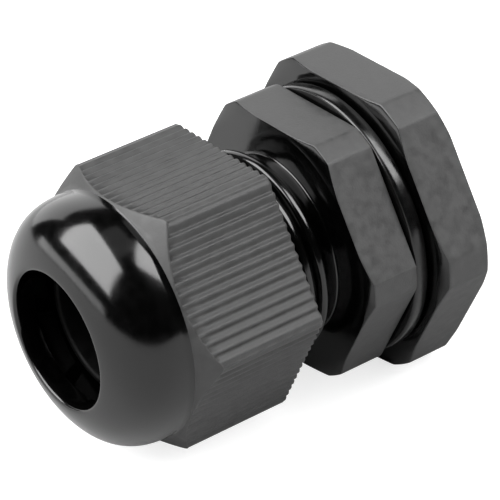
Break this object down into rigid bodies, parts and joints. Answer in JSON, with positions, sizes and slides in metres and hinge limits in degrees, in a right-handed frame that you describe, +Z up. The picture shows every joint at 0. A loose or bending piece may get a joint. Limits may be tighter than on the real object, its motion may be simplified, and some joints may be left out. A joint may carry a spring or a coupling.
{
  "type": "cable gland",
  "caption": "Black nylon cable gland with a domed sealing nut, hexagonal body, sealing gasket and lock nut.",
  "frame": {"origin": "bottom centre of the whole gland's box, on the surface it lies on", "axes": "+X along the axis from the domed sealing nut to the lock nut, +Z up with the top and bottom flats level"},
  "size_m": [0.0398, 0.0308, 0.028],
  "materials": {
    "sealing_nut_nylon": "satin near-black moulded nylon, glossier on the dome",
    "body_nylon": "satin near-black moulded nylon",
    "finger_nylon": "satin near-black moulded nylon",
    "lock_nut_nylon": "satin near-black moulded nylon",
    "gasket_rubber": "smooth black rubber with a soft sheen",
    "seal_rubber": "matt black rubber"
  },
  "bodies": {
    "body": {"body": "body_nylon"},
    "finger_01": {"finger_01": "finger_nylon"},
    "finger_02": {"finger_02": "finger_nylon"},
    "finger_03": {"finger_03": "finger_nylon"},
    "finger_04": {"finger_04": "finger_nylon"},
    "finger_05": {"finger_05": "finger_nylon"},
    "finger_06": {"finger_06": "finger_nylon"},
    "finger_07": {"finger_07": "finger_nylon"},
    "finger_08": {"finger_08": "finger_nylon"},
    "finger_09": {"finger_09": "finger_nylon"},
    "finger_10": {"finger_10": "finger_nylon"},
    "seal": {"seal": "seal_rubber"},
    "sealing_nut": {"sealing_nut": "sealing_nut_nylon"},
    "gasket": {"gasket": "gasket_rubber"},
    "lock_nut": {"lock_nut": "lock_nut_nylon"}
  },
  "joints": [
    {"name": "sealing_nut_turn", "type": "hinge", "parent": "seal", "child": "sealing_nut", "pos_m": [-0.00045, 0, 0.014], "axis": [1, 0, 0], "range_deg": [0, 720]},
    {"name": "seal_slide", "type": "slide", "parent": "body", "child": "seal", "axis": [1, 0, 0], "range_m": [0, 0.003]},
    {"name": "finger_01_bend", "type": "hinge", "parent": "body", "child": "finger_01", "pos_m": [-0.00815, 0.00845, 0.014], "axis": [0, 0, 1], "range_deg": [0, 12.3]},
    {"name": "finger_02_bend", "type": "hinge", "parent": "body", "child": "finger_02", "pos_m": [-0.00815, 0.00684, 0.01897], "axis": [0, -0.5878, 0.809], "range_deg": [0, 12.3]},
    {"name": "finger_03_bend", "type": "hinge", "parent": "body", "child": "finger_03", "pos_m": [-0.00815, 0.00261, 0.02204], "axis": [0, -0.9511, 0.309], "range_deg": [0, 12.3]},
    {"name": "finger_04_bend", "type": "hinge", "parent": "body", "child": "finger_04", "pos_m": [-0.00815, -0.00261, 0.02204], "axis": [0, -0.9511, -0.309], "range_deg": [0, 12.3]},
    {"name": "finger_05_bend", "type": "hinge", "parent": "body", "child": "finger_05", "pos_m": [-0.00815, -0.00684, 0.01897], "axis": [0, -0.5878, -0.809], "range_deg": [0, 12.3]},
    {"name": "finger_06_bend", "type": "hinge", "parent": "body", "child": "finger_06", "pos_m": [-0.00815, -0.00845, 0.014], "axis": [0, 0, -1], "range_deg": [0, 12.3]},
    {"name": "finger_07_bend", "type": "hinge", "parent": "body", "child": "finger_07", "pos_m": [-0.00815, -0.00684, 0.00903], "axis": [0, 0.5878, -0.809], "range_deg": [0, 12.3]},
    {"name": "finger_08_bend", "type": "hinge", "parent": "body", "child": "finger_08", "pos_m": [-0.00815, -0.00261, 0.00596], "axis": [0, 0.9511, -0.309], "range_deg": [0, 12.3]},
    {"name": "finger_09_bend", "type": "hinge", "parent": "body", "child": "finger_09", "pos_m": [-0.00815, 0.00261, 0.00596], "axis": [0, 0.9511, 0.309], "range_deg": [0, 12.3]},
    {"name": "finger_10_bend", "type": "hinge", "parent": "body", "child": "finger_10", "pos_m": [-0.00815, 0.00684, 0.00903], "axis": [0, 0.5878, 0.809], "range_deg": [0, 12.3]},
    {"name": "gasket_slide", "type": "slide", "parent": "body", "child": "gasket", "axis": [1, 0, 0], "range_m": [0, 0.00525]},
    {"name": "lock_nut_turn", "type": "hinge", "parent": "gasket", "child": "lock_nut", "pos_m": [0.01225, 0, 0.014], "axis": [1, 0, 0], "range_deg": [0, 1260]}
  ],
  "couplings": [
    {"joint": "seal_slide", "follows": "sealing_nut_turn", "m_per_rad": 0.00023873},
    {"joint": "gasket_slide", "follows": "lock_nut_turn", "m_per_rad": 0.00023873},
    {"joint": "finger_01_bend", "follows": "sealing_nut_turn", "ratio": 0.017083},
    {"joint": "finger_02_bend", "follows": "sealing_nut_turn", "ratio": 0.017083},
    {"joint": "finger_03_bend", "follows": "sealing_nut_turn", "ratio": 0.017083},
    {"joint": "finger_04_bend", "follows": "sealing_nut_turn", "ratio": 0.017083},
    {"joint": "finger_05_bend", "follows": "sealing_nut_turn", "ratio": 0.017083},
    {"joint": "finger_06_bend", "follows": "sealing_nut_turn", "ratio": 0.017083},
    {"joint": "finger_07_bend", "follows": "sealing_nut_turn", "ratio": 0.017083},
    {"joint": "finger_08_bend", "follows": "sealing_nut_turn", "ratio": 0.017083},
    {"joint": "finger_09_bend", "follows": "sealing_nut_turn", "ratio": 0.017083},
    {"joint": "finger_10_bend", "follows": "sealing_nut_turn", "ratio": 0.017083}
  ]
}
